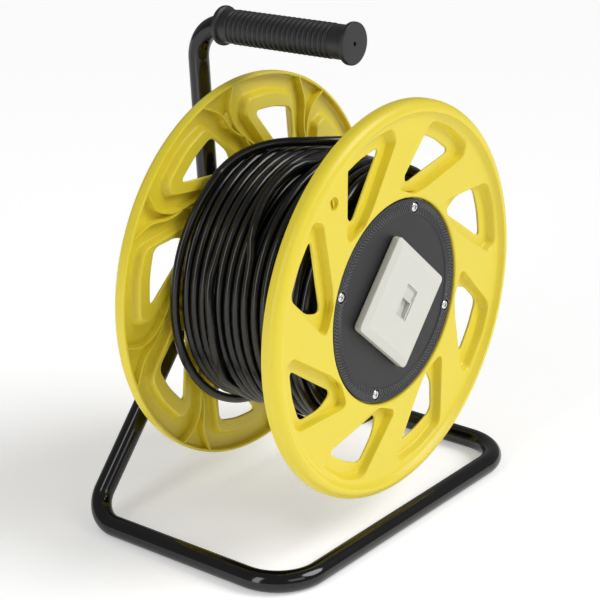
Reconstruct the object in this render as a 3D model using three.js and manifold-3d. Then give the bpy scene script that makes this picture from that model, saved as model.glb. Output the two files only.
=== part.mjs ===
// Cable reel with a telephone outlet: a bent-tube stand carries a drum that turns on a fixed axle.
// Millimetres, +Z up. The reel axis runs along Y and the outlet faces -Y. The origin is on the
// floor, under the middle of the stand.
import * as THREE from 'three';
import { mergeVertices } from 'three/addons/utils/BufferGeometryUtils.js';
import Module from 'manifold-3d';

const wasm = await Module();
wasm.setup();

// ---------- driving dimensions ----------
const GAP = 0.3;                       // left between pieces that touch

const TUBE_RADIUS = 8;                 // steel tube of the stand
const TUBE_BORE = 6.7;
const TUBE_SIDES = 16;
const TUBE_CORNER_RADIUS = TUBE_RADIUS / Math.cos(Math.PI / TUBE_SIDES);
const BASE_HALF_WIDTH = 147.4;         // tube centrelines on the floor
const BASE_FRONT_Y = -99.1;
const BASE_BACK_Y = 88.3;
const FRONT_BEND = 36;                 // bend radii on the centreline
const REAR_BEND = 24;
const HUB_HEIGHT = 179.1;              // reel axis above the floor
const LEG_END = 24;                    // legs stop this far from the reel axis
const POST_START = 15;
const POST_TOP_Y = 100.8;              // the post leans back a little
const ARM_REAR_RISE = 182.6;           // hand arm above the axis where it leaves the post
const ARM_FRONT_RISE = 186.8;          // and at its front end
const ARM_FRONT_Y = -47;
const ARM_BEND = 27;

const GRIP_LENGTH = 121.3;
const GRIP_RADIUS = 13.1;
const GRIP_REAR_FLANGE_RADIUS = 15;
const GRIP_FRONT_FLANGE_RADIUS = 15.7;

const DRUM_Y = -16.6;                  // middle of the drum
const FLANGE_RADIUS = 150;
const FLANGE_CREST = 74.9;             // rounded rim, farthest out from the middle of the drum
const FLANGE_FACE = 70.8;              // flat web outside
const FLANGE_INSIDE = 62.6;            // rim and ribs inside
const RIM_ROUNDING = 7.5;
const WALL = 2.6;
const PANEL_OPENING = 77.8;            // round opening for the centre panel
const SEAT_BORE = 66;
const SEAT_FACE = 65.9;
const WINDOW_COUNT = 8;
const WINDOW_OFFSET = -3;              // degrees from the first panel screw to a window's middle
const LEDGE_DEPTH = 6.3;               // the ledge round each window lies below the web
const LEDGE_THICKNESS = 2.4;
const KNOB_DIMPLE_RADIUS = 4.8;
const KNOB_DIMPLE_AT = 123.5;
const KNOB_DIMPLE_TURN = 129.3;        // degrees, seen from the front, from +X towards +Z
const KNOB_DIMPLE_DEPTH = 4.4;
const RIB_THICKNESS = 1.8;

const CORE_RADIUS = 81;
const CORE_WALL = 5;
const BULKHEAD_Y = -31;
const PANEL_RADIUS = 76.6;
const PANEL_FACE = 69.5;
const PANEL_THICKNESS = 3;
const PANEL_BAND_RADIUS = 66;          // inside it the outlet panel is a little sunk
const PANEL_RECESS = 0.5;
const SCREW_CIRCLE = 70.5;
const SCREW_COUNT = 4;
const SCREW_HOLE_RADIUS = 2.2;
const SCREW_SHANK_RADIUS = 1.6;
const SCREW_HEAD_RADIUS = 3.7;
const COUNTERBORE_RADIUS = 4.3;
const COUNTERBORE_DEPTH = 1.7;
const SCREW_ANGLE = 71;                // first screw, seen from the front, from +X towards +Z
const REAR_FLANGE_TURN = 52;           // brings the rear flange's screw holes onto the same bosses

const AXLE_RADIUS = 6;
const BUSH_RADIUS = 8;
const BUSH_LENGTH = 24;
const REAR_BUSH_START = 50;            // along the axis from the middle of the drum
const REAR_BOSS_END = 78.3;
const BOSS_RADIUS = 13;
const NUT_RADIUS = 10.4;
const WASHER_THICKNESS = 1.6;
const BRACKET_THICKNESS = 4;

const OUTLET_TURN = 40.4;              // the outlet plate is turned clockwise, seen from the front
const COVER_SIZE = 76;
const BOX_SIZE = 60;
const COVER_SIDE = 5.9;
const COVER_BEVEL = 6.2;
const COVER_RISE = 1.9;
const JACK_X = 1.8;                    // the insert sits a little off the plate's middle
const JACK_Z = 1.9;
const JACK_WIDTH = 15.5;
const JACK_HEIGHT = 23.5;
const SLOT_WIDTH = 12.5;
const SLOT_HEIGHT = 13;
const SLOT_DEPTH = 3.2;
const SHUTTER_TRAVEL = 9.4;
const SHUTTER_THICKNESS = 0.9;
const SOCKET_WIDTH = 11.7;
const SOCKET_HEIGHT = 8.5;
const SOCKET_DEPTH = 14;

const CABLE_RADIUS = 3.5;
const WINDING_RADIUS = 100.8;
const WINDING_HALF_WIDTH = 58;
const PLUG_LENGTH = 21.5;
const PLUG_WIDTH = 11.4;
const PLUG_HEIGHT = 7.8;
const BOOT_LENGTH = 14;
const GROMMET_Y = -52;
const GROMMET_ANGLE = -OUTLET_TURN;
const CABLE_ENTRY_RADIUS = 5.8;

// ---------- solids ----------
// A closed body with shared vertices and its faces pointing out.
function closedBody(geometry) {
  const plain = geometry.index ? geometry.toNonIndexed() : geometry.clone();
  plain.deleteAttribute('normal');
  plain.deleteAttribute('uv');
  const merged = mergeVertices(plain, 1e-4);
  const position = merged.attributes.position;
  const kept = [];
  const index = merged.index.array;
  let volume = 0;
  const [a, b, c] = [new THREE.Vector3(), new THREE.Vector3(), new THREE.Vector3()];
  for (let i = 0; i < index.length; i += 3) {
    const [p, q, r] = [index[i], index[i + 1], index[i + 2]];
    if (p === q || q === r || r === p) continue;
    kept.push(p, q, r);
    a.fromBufferAttribute(position, p);
    b.fromBufferAttribute(position, q);
    c.fromBufferAttribute(position, r);
    volume += a.dot(b.cross(c));
  }
  if (volume < 0) {
    kept.reverse();
  }
  merged.setIndex(kept);
  return merged;
}

function toManifold(geometry) {
  const body = closedBody(geometry);
  const vertProperties = new Float32Array(body.attributes.position.array);
  const triVerts = new Uint32Array(body.index.array);
  return new wasm.Manifold(new wasm.Mesh({ numProp: 3, vertProperties, triVerts }));
}

function fromManifold(solid) {
  const { vertProperties, triVerts } = solid.getMesh();
  const geometry = new THREE.BufferGeometry();
  geometry.setAttribute('position', new THREE.BufferAttribute(vertProperties, 3));
  geometry.setIndex(new THREE.BufferAttribute(triVerts, 1));
  return geometry;
}

function join(first, ...others) {
  return others.reduce((sum, other) => sum.add(other), first);
}

function cut(first, ...others) {
  return others.reduce((rest, other) => rest.subtract(other), first);
}

// A round body about the Y axis from [radius, y] corners.
function turned(corners, segments = 40) {
  const profile = corners.map(([radius, y]) => new THREE.Vector2(radius, y));
  profile.push(profile[0].clone());
  return new THREE.LatheGeometry(profile, segments);
}

function ring(inner, outer, yFrom, yTo, segments = 16) {
  return turned([[inner, yFrom], [outer, yFrom], [outer, yTo], [inner, yTo]], segments);
}

// A rod along Y, solid on its axis.
function rod(radius, yFrom, yTo, segments = 16) {
  const geometry = new THREE.CylinderGeometry(radius, radius, Math.abs(yTo - yFrom), segments);
  return geometry.translate(0, (yFrom + yTo) / 2, 0);
}

function hexNut(radius, yFrom, yTo) {
  const hole = rod(AXLE_RADIUS + GAP, Math.min(yFrom, yTo) - 1, Math.max(yFrom, yTo) + 1, 16);
  return fromManifold(cut(toManifold(rod(radius, yFrom, yTo, 6)), toManifold(hole)));
}

// An outline in the X-Z plane made into a plate between two values of y.
function plate(shape, yBack, yFront, bevel = { bevelEnabled: false }) {
  const depth = yBack - yFront;
  const geometry = new THREE.ExtrudeGeometry(shape, { depth, curveSegments: 6, ...bevel });
  return geometry.rotateX(Math.PI / 2).translate(0, yBack, 0);
}

function block(width, height, yFrom, yTo, x = 0, z = 0) {
  const depth = Math.abs(yTo - yFrom);
  return new THREE.BoxGeometry(width, depth, height).translate(x, (yFrom + yTo) / 2, z);
}

// A closed outline through corners [x, z, rounding radius].
function roundedOutline(corners, steps = 3) {
  const points = [];
  corners.forEach(([x, z, radius], i) => {
    const corner = new THREE.Vector2(x, z);
    if (!radius) {
      points.push(corner);
      return;
    }
    const before = corners[(i + corners.length - 1) % corners.length];
    const after = corners[(i + 1) % corners.length];
    const back = new THREE.Vector2(before[0], before[1]).sub(corner).normalize();
    const ahead = new THREE.Vector2(after[0], after[1]).sub(corner).normalize();
    const reach = radius / Math.tan(Math.acos(back.dot(ahead)) / 2);
    const start = corner.clone().addScaledVector(back, reach);
    const end = corner.clone().addScaledVector(ahead, reach);
    const bend = new THREE.QuadraticBezierCurve(start, corner, end);
    points.push(...bend.getPoints(steps));
  });
  return new THREE.Shape(points);
}

function roundedSquare(size, radius) {
  const half = size / 2;
  const corners = [[-half, -half], [half, -half], [half, half], [-half, half]];
  return roundedOutline(corners.map(([x, z]) => [x, z, radius]));
}

// Turns a solid about the reel axis, counter-clockwise as seen from the front.
function turnedBy(geometry, degrees) {
  return geometry.rotateY(THREE.MathUtils.degToRad(-degrees));
}

function onCircle(radius, degrees) {
  const angle = THREE.MathUtils.degToRad(degrees);
  return [radius * Math.cos(angle), radius * Math.sin(angle)];
}

// ---------- bent tube ----------
// A centreline of straight runs joined by arcs, with stations only where it bends.
class BentTube extends THREE.Curve {
  constructor(corners, bendRadii, stepsPerBend = 4) {
    super();
    this.stations = [corners[0]];
    const first = corners[1].clone().sub(corners[0]).normalize();
    this.tangents = [first];
    for (let i = 1; i < corners.length - 1; i++) {
      const into = corners[i].clone().sub(corners[i - 1]).normalize();
      const out = corners[i + 1].clone().sub(corners[i]).normalize();
      const turn = into.angleTo(out);
      const reach = bendRadii[i - 1] * Math.tan(turn / 2);
      const start = corners[i].clone().addScaledVector(into, -reach);
      const side = out.clone().addScaledVector(into, -into.dot(out)).normalize();
      const centre = start.clone().addScaledVector(side, bendRadii[i - 1]);
      for (let k = 0; k <= stepsPerBend; k++) {
        const angle = turn * k / stepsPerBend;
        const outward = side.clone().multiplyScalar(-Math.cos(angle));
        outward.addScaledVector(into, Math.sin(angle));
        const tangent = into.clone().multiplyScalar(Math.cos(angle));
        tangent.addScaledVector(side, Math.sin(angle));
        this.stations.push(centre.clone().addScaledVector(outward, bendRadii[i - 1]));
        this.tangents.push(tangent);
      }
    }
    this.stations.push(corners[corners.length - 1]);
    this.tangents.push(corners[corners.length - 1].clone().sub(corners[corners.length - 2]).normalize());
  }

  get steps() {
    return this.stations.length - 1;
  }

  getPointAt(u, target = new THREE.Vector3()) {
    return target.copy(this.stations[Math.round(u * this.steps)]);
  }

  getTangentAt(u, target = new THREE.Vector3()) {
    return target.copy(this.tangents[Math.round(u * this.steps)]);
  }
}

function circle(radius, sides, turn = 0) {
  const points = [];
  for (let i = 0; i < sides; i++) {
    const angle = turn + 2 * Math.PI * i / sides;
    points.push(new THREE.Vector2(radius * Math.cos(angle), radius * Math.sin(angle)));
  }
  return points;
}

// The flats of the outer section touch the true round, so a run on the floor lies on a flat.
function hollowTube(path, turn = 0) {
  const section = new THREE.Shape(circle(TUBE_CORNER_RADIUS, TUBE_SIDES, turn));
  section.holes.push(new THREE.Path(circle(TUBE_BORE, TUBE_SIDES / 2, turn)));
  return new THREE.ExtrudeGeometry(section, { steps: path.steps, extrudePath: path });
}

// ---------- materials ----------
function finish(color, roughness, metalness) {
  return new THREE.MeshStandardMaterial({ color, roughness, metalness });
}

const steel = { color: 0xb9bcc0, roughness: 0.35, metalness: 1 };

// ---------- the reel ----------
const reel = new THREE.Group();
const drum = new THREE.Group();
drum.position.set(0, DRUM_Y, HUB_HEIGHT);
const outlet = new THREE.Group();
outlet.rotation.y = THREE.MathUtils.degToRad(OUTLET_TURN);
drum.add(outlet);
reel.add(drum);

function addPiece(parent, name, geometry, material) {
  const mesh = new THREE.Mesh(closedBody(geometry), material);
  mesh.name = name;
  parent.add(mesh);
  return mesh;
}

const blackPaint = () => finish(0x0b0c0d, 0.25, 0);
const yellowPlastic = () => finish(0xe9d433, 0.45, 0);
const blackPlastic = () => finish(0x2b2c2e, 0.55, 0);
const whitePlastic = () => finish(0xe6e5dd, 0.4, 0);
const whiteNylon = () => finish(0xd8d6cc, 0.5, 0);
const brightSteel = () => finish(steel.color, steel.roughness, steel.metalness);
const blackCable = () => finish(0x121314, 0.4, 0);

// ---------- stand ----------
function legEnd(side) {
  const reach = Math.hypot(BASE_HALF_WIDTH, HUB_HEIGHT - TUBE_RADIUS);
  const x = side * BASE_HALF_WIDTH * LEG_END / reach;
  const z = HUB_HEIGHT - (HUB_HEIGHT - TUBE_RADIUS) * LEG_END / reach;
  return new THREE.Vector3(x, BASE_BACK_Y, z);
}

function baseFrame() {
  const corner = (side, y) => new THREE.Vector3(side * BASE_HALF_WIDTH, y, TUBE_RADIUS);
  const corners = [
    legEnd(-1),
    corner(-1, BASE_BACK_Y),
    corner(-1, BASE_FRONT_Y),
    corner(1, BASE_FRONT_Y),
    corner(1, BASE_BACK_Y),
    legEnd(1),
  ];
  const legAngle = Math.atan2(HUB_HEIGHT - TUBE_RADIUS, BASE_HALF_WIDTH);
  const flatDown = Math.PI / TUBE_SIDES - (legAngle - Math.PI / 4);
  return hollowTube(new BentTube(corners, [REAR_BEND, FRONT_BEND, FRONT_BEND, REAR_BEND]), flatDown);
}

function handlePost() {
  const lean = (POST_TOP_Y - BASE_BACK_Y) / ARM_REAR_RISE;
  const foot = new THREE.Vector3(0, BASE_BACK_Y + lean * POST_START, HUB_HEIGHT + POST_START);
  const top = new THREE.Vector3(0, POST_TOP_Y, HUB_HEIGHT + ARM_REAR_RISE);
  const front = new THREE.Vector3(0, ARM_FRONT_Y, HUB_HEIGHT + ARM_FRONT_RISE);
  const tip = front.clone().add(top.clone().sub(front).setLength(5));
  return hollowTube(new BentTube([foot, top, tip], [ARM_BEND], 6));
}

const BRACKET_BACK = BASE_BACK_Y - TUBE_CORNER_RADIUS - GAP;
const BRACKET_FRONT = BRACKET_BACK - BRACKET_THICKNESS;

// A three-lobed plate in front of the tube ends, which are welded to it.
function hubBracket() {
  const outline = [
    [-17, 42, 9],
    [-46, -30, 12],
    [-26, -54, 12],
    [26, -54, 12],
    [46, -30, 12],
    [17, 42, 9],
  ];
  const body = toManifold(plate(roundedOutline(outline), BRACKET_BACK, BRACKET_FRONT));
  const hole = toManifold(rod(AXLE_RADIUS + GAP, BRACKET_FRONT - 1, BRACKET_BACK + 1));
  return fromManifold(cut(body, hole)).translate(0, 0, HUB_HEIGHT);
}

addPiece(reel, 'base_frame', baseFrame(), blackPaint());
addPiece(reel, 'handle_post', handlePost(), blackPaint());
addPiece(reel, 'hub_bracket', hubBracket(), blackPaint());

// The rubber grip: a closed front end with a vent hole, a plain body over its ribs' peaks, and a
// flange at each end.
function handGrip() {
  const bore = TUBE_CORNER_RADIUS + GAP;
  const profile = [[bore, 0], [GRIP_REAR_FLANGE_RADIUS, 0], [GRIP_REAR_FLANGE_RADIUS, -3], [GRIP_RADIUS, -5]];
  profile.push([GRIP_RADIUS, -GRIP_LENGTH + 5], [GRIP_FRONT_FLANGE_RADIUS, -GRIP_LENGTH + 3]);
  profile.push([GRIP_FRONT_FLANGE_RADIUS, -GRIP_LENGTH], [1.5, -GRIP_LENGTH]);
  profile.push([1.5, -GRIP_LENGTH + 3.5], [bore, -GRIP_LENGTH + 3.5]);
  return turned(profile, 20);
}

const armSlope = Math.atan2(ARM_FRONT_RISE - ARM_REAR_RISE, POST_TOP_Y - ARM_FRONT_Y);
const grip = addPiece(reel, 'hand_grip', handGrip(), finish(0x1c1e20, 0.6, 0));
grip.rotation.x = -armSlope;
const gripStart = ARM_FRONT_Y + GRIP_LENGTH * Math.cos(armSlope);
grip.position.set(0, gripStart, HUB_HEIGHT + ARM_FRONT_RISE - GRIP_LENGTH * Math.sin(armSlope));

// ---------- axle, fixed to the stand ----------
const AXLE_SHOULDER = BRACKET_FRONT - DRUM_Y - GAP;       // along the axis from the middle of the drum
const AXLE_REAR = BRACKET_BACK - DRUM_Y;

const COLLAR_FRONT = AXLE_SHOULDER - 4;
const COLLAR_RADIUS = 12;
const AXLE_FRONT = BULKHEAD_Y - 10;
const AXLE_BACK = AXLE_REAR + 14;
const WASHER_BORE = AXLE_RADIUS + GAP;

const axleShape = turned([
  [0, AXLE_FRONT],
  [AXLE_RADIUS, AXLE_FRONT],
  [AXLE_RADIUS, COLLAR_FRONT],
  [COLLAR_RADIUS, COLLAR_FRONT],
  [COLLAR_RADIUS, AXLE_SHOULDER],
  [AXLE_RADIUS, AXLE_SHOULDER],
  [AXLE_RADIUS, AXLE_BACK],
  [0, AXLE_BACK],
], 16);

// A washer that starts a gap away from the face it bears on; a negative side faces forward.
function washer(outer, face, side = 1) {
  const start = face + side * GAP;
  return ring(WASHER_BORE, outer, start, start + side * WASHER_THICKNESS);
}

const washerStack = WASHER_THICKNESS + 2 * GAP;
const frontNutBack = BULKHEAD_Y - washerStack;
const axleNutFront = AXLE_REAR + washerStack;
addPiece(drum, 'axle', axleShape, brightSteel());
addPiece(drum, 'axle_washer', washer(11, AXLE_REAR), brightSteel());
addPiece(drum, 'axle_nut', hexNut(NUT_RADIUS, axleNutFront, axleNutFront + 8.4), brightSteel());
addPiece(drum, 'front_washer', washer(BOSS_RADIUS, BULKHEAD_Y, -1), brightSteel());
addPiece(drum, 'lock_nut', hexNut(NUT_RADIUS, frontNutBack, frontNutBack - 7), brightSteel());
addPiece(drum, 'rear_washer', washer(BOSS_RADIUS, REAR_BOSS_END), brightSteel());
const sleeve = ring(WASHER_BORE, 10, REAR_BOSS_END + washerStack, COLLAR_FRONT - GAP);
addPiece(drum, 'spacer_sleeve', sleeve, brightSteel());

// ---------- flanges ----------
// Outlines around one window, with the window's middle straight up and the reel axis at the origin.
const holeOutline = () => roundedOutline([
  [-17.5, 84.3, 2.5],
  [-19.5, 100, 10],
  [-10.5, 123, 5],
  [10, 122, 0],
  [31.5, 117.3, 1.5],
], 1);
const ledgeOutline = () => roundedOutline([
  [-34.5, 81, 3],
  [-13, 130.5, 5],
  [14, 130.5, 0],
  [38.5, 123.5, 3],
  [40.5, 115, 3],
  [0, 86, 0],
  [-11, 80.7, 0],
], 1);

// A thin curved wall inside the flange, through points around one window.
function rib(points) {
  const half = RIB_THICKNESS / 2;
  const curve = new THREE.CatmullRomCurve3(points.map(([x, z]) => new THREE.Vector3(x, z, 0)));
  const left = [];
  const right = [];
  for (let i = 0; i <= 3; i++) {
    const at = curve.getPoint(i / 3);
    const along = curve.getTangent(i / 3);
    left.push(new THREE.Vector2(at.x - along.y * half, at.y + along.x * half));
    right.unshift(new THREE.Vector2(at.x + along.y * half, at.y - along.x * half));
  }
  return plate(new THREE.Shape([...left, ...right]), -FLANGE_INSIDE, -FLANGE_FACE + 1);
}

function flangeBody() {
  const profile = [[PANEL_OPENING, -FLANGE_FACE], [136.5, -FLANGE_FACE], [139, -FLANGE_FACE - 1.4]];
  const crestRadius = FLANGE_RADIUS - RIM_ROUNDING;
  for (let i = 0; i <= 3; i++) {
    const angle = Math.PI / 2 * i / 3;
    const y = -FLANGE_CREST + RIM_ROUNDING * (1 - Math.cos(angle));
    profile.push([crestRadius + RIM_ROUNDING * Math.sin(angle), y]);
  }
  profile.push([FLANGE_RADIUS, -FLANGE_INSIDE], [FLANGE_RADIUS - WALL, -FLANGE_INSIDE]);
  profile.push([FLANGE_RADIUS - WALL, -FLANGE_CREST + RIM_ROUNDING], [crestRadius, -FLANGE_CREST + WALL]);
  const hubWall = PANEL_OPENING + WALL;
  profile.push([137, -FLANGE_FACE + WALL], [hubWall, -FLANGE_FACE + WALL]);
  profile.push([hubWall, -FLANGE_INSIDE], [SEAT_BORE, -FLANGE_INSIDE]);
  profile.push([SEAT_BORE, -SEAT_FACE], [PANEL_OPENING, -SEAT_FACE]);
  return toManifold(turned(profile, 40));
}

const INNER_RIB = [[59, 135], [52, 118], [37, 104], [24, 94]];
const OUTER_RIB = [[-19, 140], [-37.5, 120], [-44, 100], [-44, 84]];

function flange() {
  const ledgeY = -FLANGE_FACE + LEDGE_DEPTH;
  const ledgeBack = ledgeY + LEDGE_THICKNESS;
  const beforeCrest = -FLANGE_CREST - 2;
  const flare = { bevelEnabled: true, bevelThickness: LEDGE_DEPTH, bevelSize: 2.8, bevelSegments: 1 };
  const wider = { bevelEnabled: true, bevelThickness: 1, bevelSize: 0, bevelOffset: 3.4, bevelSegments: 1 };
  const solids = [];
  const openings = [];
  for (let i = 0; i < WINDOW_COUNT; i++) {
    const turn = SCREW_ANGLE + WINDOW_OFFSET - 90 + i * 360 / WINDOW_COUNT;
    const boss = plate(ledgeOutline(), ledgeBack - 1, -FLANGE_FACE + 2, wider);
    const pocket = plate(ledgeOutline(), ledgeY - LEDGE_DEPTH, beforeCrest, flare);
    const hole = plate(holeOutline(), -FLANGE_INSIDE + 4, beforeCrest);
    solids.push(...[boss, rib(INNER_RIB), rib(OUTER_RIB)].map((piece) => turnedBy(piece, turn)));
    openings.push(...[pocket, hole].map((piece) => turnedBy(piece, turn)));
  }
  for (let i = 0; i < SCREW_COUNT; i++) {
    const [x, z] = onCircle(SCREW_CIRCLE, SCREW_ANGLE + 90 * i);
    openings.push(rod(SCREW_HOLE_RADIUS, -FLANGE_INSIDE + 1, -SEAT_FACE - 1, 6).translate(x, 0, z));
  }
  const [x, z] = onCircle(KNOB_DIMPLE_AT, KNOB_DIMPLE_TURN);
  const floor = -FLANGE_FACE + KNOB_DIMPLE_DEPTH;
  const wall = KNOB_DIMPLE_RADIUS + 2;
  openings.push(rod(KNOB_DIMPLE_RADIUS, floor, -FLANGE_CREST, 12).translate(x, 0, z));
  solids.push(rod(wall, floor + 2.2, -FLANGE_FACE + 1, 12).translate(x, 0, z));
  const body = join(flangeBody(), ...solids.map(toManifold));
  return fromManifold(cut(body, ...openings.map(toManifold)));
}

addPiece(drum, 'front_flange', flange(), yellowPlastic());
const rearFlange = addPiece(drum, 'rear_flange', flange(), yellowPlastic());
rearFlange.rotation.set(0, THREE.MathUtils.degToRad(-REAR_FLANGE_TURN), Math.PI, 'YXZ');

// ---------- drum core ----------
// The barrel, its inner bulkhead with the front bearing boss, and the screw bosses at both ends.
function drumCore() {
  const end = FLANGE_FACE - LEDGE_DEPTH - LEDGE_THICKNESS - GAP;
  const hubEnd = BULKHEAD_Y + BUSH_LENGTH;
  const barrel = ring(CORE_RADIUS - CORE_WALL, CORE_RADIUS, -end, end, 40);
  const bulkhead = rod(CORE_RADIUS - 1, BULKHEAD_Y, BULKHEAD_Y + 3, 40);
  const hub = rod(BOSS_RADIUS, BULKHEAD_Y, hubEnd, 20);
  const solids = [bulkhead, hub];
  const holes = [rod(BUSH_RADIUS + GAP, BULKHEAD_Y - 1, hubEnd + 1, 20)];
  for (let i = 0; i < SCREW_COUNT; i++) {
    const [x, z] = onCircle(SCREW_CIRCLE, SCREW_ANGLE + 90 * i);
    for (const side of [-1, 1]) {
      solids.push(rod(6.2, side * end, side * (end - 18), 10).translate(x, 0, z));
      holes.push(rod(SCREW_HOLE_RADIUS, side * (end + 1), side * (end - 16), 6).translate(x, 0, z));
    }
  }
  const entry = rod(CABLE_ENTRY_RADIUS, 0, CORE_RADIUS + 9, 14);
  entry.rotateZ(-Math.PI / 2).translate(0, GROMMET_Y, 0);
  holes.push(turnedBy(entry, GROMMET_ANGLE));
  const body = join(toManifold(barrel), ...solids.map(toManifold));
  return fromManifold(cut(body, ...holes.map(toManifold)));
}

function bush(yFrom, yTo) {
  return ring(AXLE_RADIUS + GAP, BUSH_RADIUS, yFrom, yTo);
}

addPiece(drum, 'drum_core', drumCore(), blackPlastic());
addPiece(drum, 'front_bush', bush(BULKHEAD_Y, BULKHEAD_Y + BUSH_LENGTH), whiteNylon());
addPiece(drum, 'rear_bush', bush(REAR_BUSH_START, REAR_BOSS_END), whiteNylon());

// Counterbored holes through a panel, open on the side of its outer face.
function screwHoles(inner, outer) {
  const side = Math.sign(outer);
  const holes = [];
  for (let i = 0; i < SCREW_COUNT; i++) {
    const [x, z] = onCircle(SCREW_CIRCLE, SCREW_ANGLE + 90 * i);
    const shank = rod(SCREW_HOLE_RADIUS, inner, outer + side, 6);
    const head = rod(COUNTERBORE_RADIUS, outer - side * COUNTERBORE_DEPTH, outer + side, 10);
    holes.push(...[shank, head].map((hole) => toManifold(hole.translate(x, 0, z))));
  }
  return holes;
}

// The round panel that closes the rear end and holds the rear bush.
function rearPanel() {
  const back = PANEL_FACE - PANEL_THICKNESS;
  const disc = toManifold(turned([
    [BUSH_RADIUS + GAP, REAR_BUSH_START],
    [BOSS_RADIUS, REAR_BUSH_START],
    [BOSS_RADIUS, back],
    [PANEL_RADIUS, back],
    [PANEL_RADIUS, PANEL_FACE],
    [BOSS_RADIUS + 4, PANEL_FACE],
    [BOSS_RADIUS, REAR_BOSS_END],
    [BUSH_RADIUS + GAP, REAR_BOSS_END],
  ]));
  return fromManifold(cut(disc, ...screwHoles(back - 1, PANEL_FACE)));
}

// The round panel that carries the outlet; its outer band stands a little proud.
function outletPanel() {
  const back = -PANEL_FACE + PANEL_THICKNESS;
  const sunk = -PANEL_FACE + PANEL_RECESS;
  const disc = toManifold(turned([
    [0, back],
    [PANEL_RADIUS, back],
    [PANEL_RADIUS, -PANEL_FACE],
    [PANEL_BAND_RADIUS, -PANEL_FACE],
    [PANEL_BAND_RADIUS - 0.6, sunk],
    [0, sunk],
  ]));
  const opening = block(54, 54, back + 1, -PANEL_FACE - 1);
  opening.rotateY(THREE.MathUtils.degToRad(OUTLET_TURN));
  return fromManifold(cut(disc, toManifold(opening), ...screwHoles(back + 1, -PANEL_FACE)));
}

addPiece(drum, 'rear_panel', rearPanel(), blackPlastic());
addPiece(drum, 'outlet_panel', outletPanel(), blackPlastic());

// Pan-head screws through the panel and the flange seat into the core's bosses.
function panelScrew(side) {
  const under = PANEL_FACE - COUNTERBORE_DEPTH + GAP;
  const tip = under - 15;
  return turned([
    [0, side * tip],
    [SCREW_SHANK_RADIUS, side * tip],
    [SCREW_SHANK_RADIUS, side * under],
    [SCREW_HEAD_RADIUS, side * under],
    [SCREW_HEAD_RADIUS, side * (under + 1.2)],
    [SCREW_HEAD_RADIUS - 1.3, side * (under + 2)],
    [0, side * (under + 2)],
  ], 8);
}

for (const [name, side] of [['panel_screw', -1], ['rear_screw', 1]]) {
  for (let i = 0; i < SCREW_COUNT; i++) {
    const screw = addPiece(drum, `${name}_${i + 1}`, panelScrew(side), brightSteel());
    const [x, z] = onCircle(SCREW_CIRCLE, SCREW_ANGLE + 90 * i);
    screw.position.set(x, 0, z);
  }
}

// ---------- outlet ----------
// The opening for the socket insert, between two values of y.
function jackOpening(yFrom, yTo) {
  return toManifold(block(JACK_OPENING_WIDTH, JACK_OPENING_HEIGHT, yFrom, yTo, JACK_X, JACK_Z));
}

const COVER_BACK = -PANEL_FACE - GAP;
const COVER_SHOULDER = COVER_BACK - COVER_SIDE;
const COVER_TOP = COVER_SHOULDER - COVER_RISE;
const JACK_OPENING_WIDTH = JACK_WIDTH + 2 * GAP;
const JACK_OPENING_HEIGHT = JACK_HEIGHT + 2 * GAP;

function outletCover() {
  const half = COVER_SIZE / 2;
  const slab = toManifold(plate(roundedSquare(COVER_SIZE, 4), COVER_BACK, COVER_TOP));
  // a square pyramid that slopes in by the bevel from the shoulder to the top
  const reach = Math.SQRT2 * (half + COVER_BEVEL);
  const slope = COVER_RISE / COVER_BEVEL;
  const top = Math.SQRT2 * (half - COVER_BEVEL);
  const pyramid = new THREE.CylinderGeometry(top, reach, 2 * COVER_RISE, 4);
  pyramid.rotateY(Math.PI / 4).rotateX(Math.PI).translate(0, COVER_SHOULDER, 0);
  const [around, inside] = [COVER_SIZE + 2, COVER_SIZE - 6];
  const base = block(around, around, COVER_BACK + 1, COVER_SHOULDER + slope);
  const hollow = block(inside, inside, COVER_BACK + 1, COVER_TOP + 2.4);
  const outer = slab.intersect(join(toManifold(base), toManifold(pyramid)));
  return fromManifold(cut(outer, toManifold(hollow), jackOpening(COVER_BACK, COVER_TOP - 1)));
}

function mountingFrame() {
  const front = COVER_BACK - 1.6;
  const body = toManifold(block(66, 66, COVER_BACK, front));
  return fromManifold(cut(body, jackOpening(COVER_BACK + 1, front - 1)));
}

function outletBox() {
  const front = -PANEL_FACE + PANEL_THICKNESS + GAP;
  const back = -44;
  const body = toManifold(block(BOX_SIZE, BOX_SIZE, front, back));
  const inside = toManifold(block(BOX_SIZE - 4, BOX_SIZE - 4, front - 1, back - 2));
  const leadHole = rod(CABLE_RADIUS + 2 * GAP, 20, 40, 12);
  leadHole.rotateZ(-Math.PI / 2).translate(0, GROMMET_Y, 0);
  return fromManifold(cut(body, inside, toManifold(leadHole)));
}

const JACK_FACE = COVER_TOP + 0.7;
const CHANNEL_FRONT = JACK_FACE + SLOT_DEPTH;
const CHANNEL_BACK = CHANNEL_FRONT + SHUTTER_THICKNESS + 2 * GAP;
const CHANNEL_WIDTH = JACK_WIDTH - 2;
const CHANNEL_HEIGHT = JACK_HEIGHT - 1;
const CHANNEL_BOTTOM = JACK_Z - CHANNEL_HEIGHT / 2;
const SHUTTER_HEIGHT = CHANNEL_HEIGHT - SHUTTER_TRAVEL - 2 * GAP;

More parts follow.
